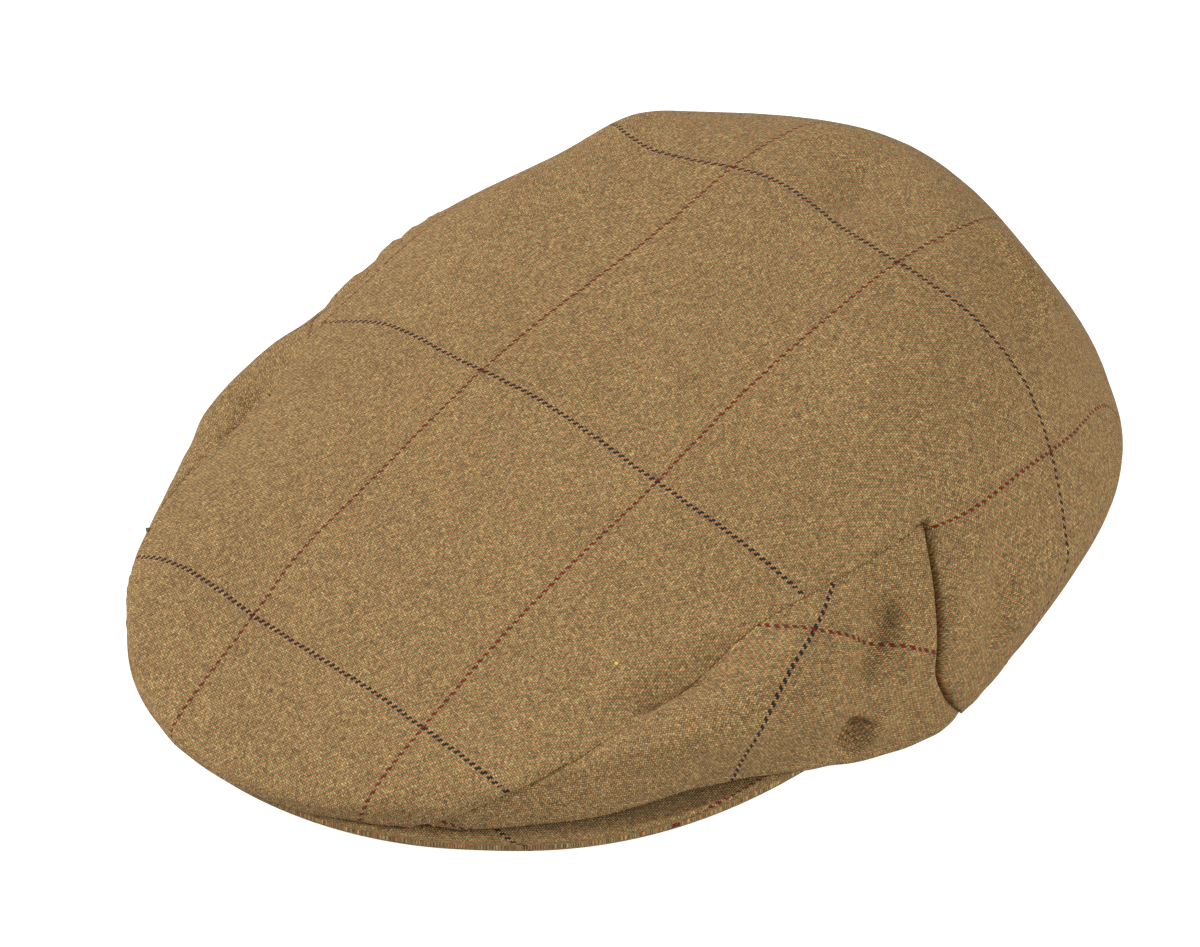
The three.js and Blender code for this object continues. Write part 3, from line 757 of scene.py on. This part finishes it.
def settle_front(co):
    lift = RIM_LIFT * MM * bell(co[:, 1] / MM - RIM_LIFT_AT, RIM_LIFT_WIDE)
    co[:, 2] += lift * (1 - ramp(co[:, 2], *RIM_LIFT_TOP))
    share = (1 - ramp(co[:, 2], *EDGE_TOP)) * ramp(-co[:, 1], *EDGE_END)
    beside = ramp(np.abs(co[:, 0]) / MM, *EDGE_ON_PEAK)
    drop = EDGE_DROP[0] + (EDGE_DROP[1] - EDGE_DROP[0]) * beside
    out = EDGE_OUT[0] + (EDGE_OUT[1] - EDGE_OUT[0]) * beside
    outward = co[:, :2] - HEAD_MIDDLE
    outward /= np.linalg.norm(outward, axis=1)[:, None]
    co[:, :2] += outward * (out * MM * share)[:, None]
    co[:, 2] -= drop * MM * share


def shape_cloth(name):
    panel = crown[name]
    co = panel["co"]
    part = "top" if name == "top_panel" else "side"
    rise = np.zeros(len(co))
    edge_gap = np.full(len(co), np.inf)
    for kind in (FREE_EDGE, SIDE_SEAM, REAR_SEAM):
        gap, _ = nearest_on(co, *border_lines(panel, kind))
        edge_gap = np.minimum(edge_gap, gap)
        for at, wide, height in EDGE_SHAPES[part, kind]:
            rise += height * bell(gap / MM - at, wide) * seam_strength(co, kind)
    for path, wide, height in fold_paths:
        gap, spot = nearest_on(co, path[:-1], path[1:])
        run = np.linalg.norm(path[1:] - path[:-1], axis=1).sum()
        from_start = np.linalg.norm(spot - path[0], axis=1)
        from_end = np.linalg.norm(spot - path[-1], axis=1)
        fullness = ramp(np.minimum(from_start, from_end) / run, 0, FOLD_END)
        rise += height * bell(gap / MM, wide) * (0.25 + 0.75 * fullness)
    still = ramp(edge_gap / MM, 0, RIPPLES_FROM_EDGE)
    for k, v in enumerate(co):
        place = Vector(v) / MM
        for size, height in RIPPLES:
            rise[k] += height * noise.noise(place / size) * still[k]
        rise[k] += PUCKER_RISE * noise.noise(place / PUCKER_LENGTH) * bell(edge_gap[k] / MM, PUCKER_REACH)
    if part == "side":
        rise *= ramp(np.linalg.norm(co - panel["tip"], axis=1), 0, 1.5 * TIP_REACH)
    co += normals_of(panel["piece"].data) * (rise * MM)[:, None]
    settle_front(co)
    co[:, 2] = np.maximum(co[:, 2], 0)


for name, panel in crown.items():
    draw_rows_to_edge(panel)
    if name != "top_panel":
        run_to_tip(panel)
    write_panel(panel)
fold_paths = []
seen_crown = crown_tree()
for points, wide, height, unseen_share in FOLDS:
    path = path_on(seen_crown, points)
    fold_paths.append((path, wide, height))
    if unseen_share:
        fold_paths.append((path * MIRROR, wide, height * unseen_share))
for name in crown:
    shape_cloth(name)

# The seams are drawn shut again where the folds have pulled them apart.
OPEN_SEAM = 0.6 * MM
SEAM_DRAW = 0.55
closing = []
for name, (rim, joined, _) in seam_ends.items():
    others = [p for n, p in crown.items() if n != name]
    starts = np.concatenate([p["co"][p["border"][:, 0]] for p in others])
    ends = np.concatenate([p["co"][p["border"][:, 1]] for p in others])
    sewn = rim[joined]
    gap, spot = nearest_on(crown[name]["co"][sewn], starts, ends)
    pull = SEAM_DRAW * ramp(gap, OPEN_SEAM, 2 * OPEN_SEAM)
    move = (spot - crown[name]["co"][sewn]) * pull[:, None]
    closing.append((name, sewn, move))
for name, sewn, move in closing:
    crown[name]["co"][sewn] += move


# The overcheck is straight on the loom and bends where the damp cloth was pressed to shape.
# Each line's points are read in the picture. The map is eased until the lines pass through them.
CHECK_LINES = {
    "top_panel": [
        ("dark", 1, [
            (622, 135), (650, 149), (700, 161), (728, 167), (775, 178), (800, 196), (835, 225), (870, 245),
            (900, 262), (950, 299), (980, 322), (1000, 348), (1035, 400), (1050, 450), (1060, 500),
            (1068, 540),
        ]),
        ("dark", 0, [
            (372, 316), (400, 330), (450, 354), (483, 370), (530, 395), (600, 440), (657, 482), (700, 513),
            (750, 547), (795, 589),
        ]),
        ("dark", -1, [
            (165, 555), (180, 566), (200, 580), (255, 615), (300, 646), (350, 676), (400, 712), (424, 727),
            (450, 748), (500, 786),
        ]),
        ("maroon", 0, [
            (175, 730), (185, 700), (230, 650), (256, 614), (270, 590), (300, 550), (350, 503), (400, 450),
            (450, 400), (483, 370), (505, 350), (560, 305), (600, 275), (635, 250), (680, 215), (722, 175),
            (762, 148),
        ]),
        ("maroon", 1, [
            (370, 798), (400, 755), (424, 724), (450, 698), (500, 640), (550, 583), (600, 540), (655, 482),
            (700, 438), (750, 386), (800, 340), (848, 299), (898, 262), (940, 236), (978, 221),
        ]),
        ("maroon", -1, [
            (230, 397), (260, 375), (300, 337), (340, 302), (375, 273), (400, 250), (425, 229),
        ]),
        ("maroon", 2, [(940, 526), (1000, 490), (1050, 450), (1080, 428), (1104, 402)]),
    ],
    "side_panel_left": [
        ("maroon", 0, [(778, 625), (818, 633), (848, 631), (881, 643), (899, 650), (936, 651)]),
        ("dark", 0, [(830, 590), (818, 633), (800, 650), (770, 706), (735, 775)]),
    ],
}
# Which way on the cloth a line is counted, the check's size that way and the line's middle.
THREAD_RUNS = {
    "dark": (1, CHECK_ALONG, WEFT_PITCH),
    "maroon": (0, CHECK_ACROSS, WARP_PITCH),
}
EASE_LENGTH = 34
EASE_SLACK = 2.5
EASE_RANGE = 4
EASE_SHIFT = 20
EASE_SHEAR = {"top_panel": 0.6, "side_panel_left": 0.25, "side_panel_right": 0.25}
EASE_STRETCH = 0.03
READING_ERROR = 0.7
MIRROR_FROM = 55 * MM


def likeness(a, b, axis, shear):
    """How far the shifts of two sets of places on the cloth go together."""
    gap = a[:, None] - b[None]
    gap[..., axis] /= EASE_SLACK
    gap = np.linalg.norm(gap, axis=2) / EASE_LENGTH
    across = a[:, None, 1 - axis] * b[None, :, 1 - axis]
    along = a[:, None, axis] * b[None, :, axis]
    local = EASE_RANGE ** 2 * np.exp(-gap ** 2)
    return local + EASE_SHIFT ** 2 + shear ** 2 * across + EASE_STRETCH ** 2 * along


def eased(cloth, held, shift, axis, shear):
    """The shift of each place on the cloth when the held places shift so."""
    own = likeness(held, held, axis, shear) + READING_ERROR ** 2 * np.eye(len(held))
    return likeness(cloth, held, axis, shear) @ np.linalg.solve(own, shift)


def cloth_under(panel, tree, point):
    place, _, face, _ = tree.find_nearest(Vector(point))
    corners = panel["faces"][face]
    shares = poly_3d_calc([Vector(panel["co"][c]) for c in corners], place)
    return sum(share * panel["cloth"][c] for share, c in zip(shares, corners))


def line_pulls(name, mirrored):
    """Where the lines have to pass on a panel: the places on its cloth and their shifts."""
    source = name.replace("right", "left")
    tree = panel_tree(crown[name])
    seen_tree = panel_tree(crown[source])
    pulls = {"dark": [], "maroon": []}
    for thread, order, points in CHECK_LINES[source]:
        axis, pitch, width = THREAD_RUNS[thread]
        for point in path_on(seen_tree, points):
            if mirrored and name == "top_panel" and point[0] < MIRROR_FROM:
                continue
            own = cloth_under(crown[source], seen_tree, point)
            shift = order * pitch + width - own[axis]
            if not mirrored:
                pulls[thread].append((own, shift))
            else:
                twin = cloth_under(crown[name], tree, point * MIRROR)
                pulls[thread].append((twin, shift if thread == "dark" else -shift))
    return pulls


# The top panel is a thick wall. The sides are thin ones, which don't fold up at their narrow tips.
CLOTH_THICKNESS = 2.1 * MM
SIDE_THICKNESS = 0.6 * MM

new_cloth = {}
for name, panel in crown.items():
    pulls = line_pulls(name, name == "side_panel_right")
    if name == "top_panel":
        unseen = line_pulls(name, True)
        pulls = {thread: pulls[thread] + unseen[thread] for thread in pulls}
    moved = panel["cloth"].copy()
    for thread, (axis, _, _) in THREAD_RUNS.items():
        held = np.array([own for own, _ in pulls[thread]])
        shift = np.array([s for _, s in pulls[thread]])
        moved[:, axis] += eased(panel["cloth"], held, shift, axis, EASE_SHEAR[name])
    new_cloth[name] = moved
for name, panel in crown.items():
    panel["cloth"] = new_cloth[name]
    write_panel(panel)
    piece = panel["piece"]
    piece.data.shade_smooth()
    wall = piece.modifiers.new("wall", "SOLIDIFY")
    wall.thickness = CLOTH_THICKNESS if name == "top_panel" else SIDE_THICKNESS
    wall.offset = -1
    wall.use_rim = True
    piece.data.materials.clear()
    piece.data.materials.append(panel_tweed)
    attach(piece, "root")
    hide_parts(name)


# The peak: a stiff board with tweed of the same cloth pulled tight over it and round its edge.
# It is taken from its solid, made finer with its edges kept, and held under the crown's front.
PEAK_LEVELS = 2
PEAK_FLAT = math.radians(30)
PEAK_MIDDLE = -26
PEAK_CORNER = math.radians(40)
PEAK_END = (60, 90)
PEAK_SPREAD = 2.4
PEAK_THICKNESS = 4.0
PEAK_DARK_AT = (518, 844)
PEAK_MAROON_AT = (319, 816)
PEAK_ROUNDING = 1.0 * MM

peak_work = bmesh.new()
peak_work.from_mesh(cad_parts["peak"].data)
bmesh.ops.remove_doubles(peak_work, verts=peak_work.verts, dist=WELD)
bmesh.ops.join_triangles(
    peak_work, faces=peak_work.faces, angle_face_threshold=PEAK_FLAT, angle_shape_threshold=math.pi
)
keen = peak_work.edges.layers.float.new("crease_edge")
for edge in peak_work.edges:
    if edge.calc_face_angle() > PEAK_CORNER:
        edge[keen] = 1
peak = as_object(peak_work, "peak_cover")
peak_fine = peak.modifiers.new("finer", "SUBSURF")
peak_fine.levels = PEAK_LEVELS
peak_fine.render_levels = PEAK_LEVELS
peak_seen = peak.evaluated_get(bpy.context.evaluated_depsgraph_get())
peak_mesh = bpy.data.meshes.new_from_object(peak_seen)
peak.modifiers.clear()
peak.data = peak_mesh
peak_co = places_of(peak_mesh)
spread = ramp(np.abs(peak_co[:, 0]) / MM, *PEAK_END) * PEAK_SPREAD * MM
peak_co[:, 0] += np.sign(peak_co[:, 0]) * spread
peak_co[:, 1] -= spread
peak_mesh.vertices.foreach_set("co", peak_co.ravel())
peak_mesh.update()
peak_normals = normals_of(peak_mesh)

# The cloth runs flat over the peak, round its edge and back under it.
outward = peak_co[:, :2] / MM - (0, PEAK_MIDDLE)
outward /= np.linalg.norm(outward, axis=1)[:, None]
round_edge = (1 - peak_normals[:, 2:]) / 2 * math.pi * PEAK_THICKNESS / 2
flat_place = peak_co[:, :2] / MM + outward * round_edge
peak_faces = [tuple(face.vertices) for face in peak_mesh.polygons]
peak_panel = {"co": peak_co, "cloth": flat_place, "faces": peak_faces}
peak_tree = panel_tree(peak_panel)
for axis, picture_place in ((1, PEAK_DARK_AT), (0, PEAK_MAROON_AT)):
    spot = seen_at(peak_tree, *picture_place)
    peak_panel["cloth"][:, axis] += WARP_PITCH - cloth_under(peak_panel, peak_tree, spot)[axis]
peak_map = peak_mesh.uv_layers.new(name="cloth")
peak_corners = [loop.vertex_index for loop in peak_mesh.loops]
peak_map.data.foreach_set("uv", peak_panel["cloth"][peak_corners].ravel())
peak_mesh.shade_smooth()
peak_tweed = tweed("peak tweed")
peak_mesh.materials.clear()
peak_mesh.materials.append(peak_tweed)
peak_rounding = peak.modifiers.new("rounded edges", "BEVEL")
peak_rounding.width = PEAK_ROUNDING
peak_rounding.segments = 3
peak_rounding.limit_method = "ANGLE"
peak_rounding.angle_limit = PEAK_CORNER
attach(peak, "root")
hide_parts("peak")

# The topstitches: one row of thread beside the front edge and the side seams on the top panel,
# and one above the rim. Each stitch is pulled into the cloth.
STITCH_STEP = 3.1
STITCH_HALF = (1.05, 0.27, 0.2)
STITCH_SINK = 0.06
LOWEST_STITCH = 1.2 * MM
FEWEST_STITCHES = 3
THREAD_DARK = (104, 84, 56)
THREAD_LIGHT = (168, 138, 92)
STITCH_ROWS = [
    ("top_panel", FREE_EDGE, 2.9),
    ("top_panel", SIDE_SEAM, 2.8),
    ("side_panel_left", FREE_EDGE, 2.4),
    ("side_panel_right", FREE_EDGE, 2.4),
]


def chains_of(panel, kind):
    """The panel's border of one kind as runs of points in order."""
    kinds = panel["kind"][panel["border"]]
    next_to = {}
    for a, b in panel["border"][(kinds == kind).any(1)]:
        next_to.setdefault(a, []).append(b)
        next_to.setdefault(b, []).append(a)
    chains = []
    while next_to:
        ends = [v for v, near in next_to.items() if len(near) == 1]
        here = ends[0] if ends else next(iter(next_to))
        chain = [here]
        while next_to.get(here):
            onward = next_to[here].pop()
            next_to[onward].remove(here)
            here = onward
            chain.append(here)
        next_to = {v: near for v, near in next_to.items() if near}
        chains.append(panel["co"][chain])
    return chains


def even_points(chain, step):
    lengths = np.linalg.norm(chain[1:] - chain[:-1], axis=1)
    along = np.r_[0, lengths.cumsum()]
    marks = np.arange(step / 2, along[-1], step)
    return np.array([np.interp(marks, along, chain[:, axis]) for axis in range(3)]).T


stitches = bmesh.new()
for name, kind, inset in STITCH_ROWS:
    tree = panel_tree(crown[name])
    for chain in chains_of(crown[name], kind):
        points = even_points(chain, STITCH_STEP * MM)
        if len(points) < FEWEST_STITCHES:
            continue
        ways = np.gradient(points, axis=0)
        for point, way in zip(points, ways):
            way = Vector(way).normalized()
            normal = tree.find_nearest(Vector(point))[1]
            across = normal.cross(way).normalized() * inset * MM
            sides = [tree.find_nearest(Vector(point) + across * side) for side in (1, -1)]
            place, up, _, _ = min(sides, key=lambda found: found[3])
            if up.z < -0.5 or place.z < LOWEST_STITCH:
                continue
            level = (way - up * way.dot(up)).normalized()
            axes = Matrix((level, up.cross(level), up)).transposed().to_4x4()
            axes.translation = place - up * STITCH_SINK * MM
            sizes = Matrix.Diagonal((*[half * MM for half in STITCH_HALF], 1))
            bmesh.ops.create_uvsphere(stitches, u_segments=8, v_segments=5, radius=1, matrix=axes @ sizes)
for face in stitches.faces:
    face.smooth = True
topstitches = as_object(stitches, "topstitches")
thread = bpy.data.materials.new("sewing thread")
thread.use_nodes = True
thread_shader = thread.node_tree.nodes["Principled BSDF"]
spot = thread.node_tree.nodes.new("ShaderNodeTexCoord").outputs["Object"]
ply = cloud(thread.node_tree, spot, 1800, 1.0)
thread_colour = blend_colours(thread.node_tree, ply, srgb(*THREAD_DARK), srgb(*THREAD_LIGHT))
thread.node_tree.links.new(thread_colour, thread_shader.inputs["Base Color"])
thread_shader.inputs["Roughness"].default_value = 0.7
topstitches.data.materials.append(thread)
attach(topstitches, "root")
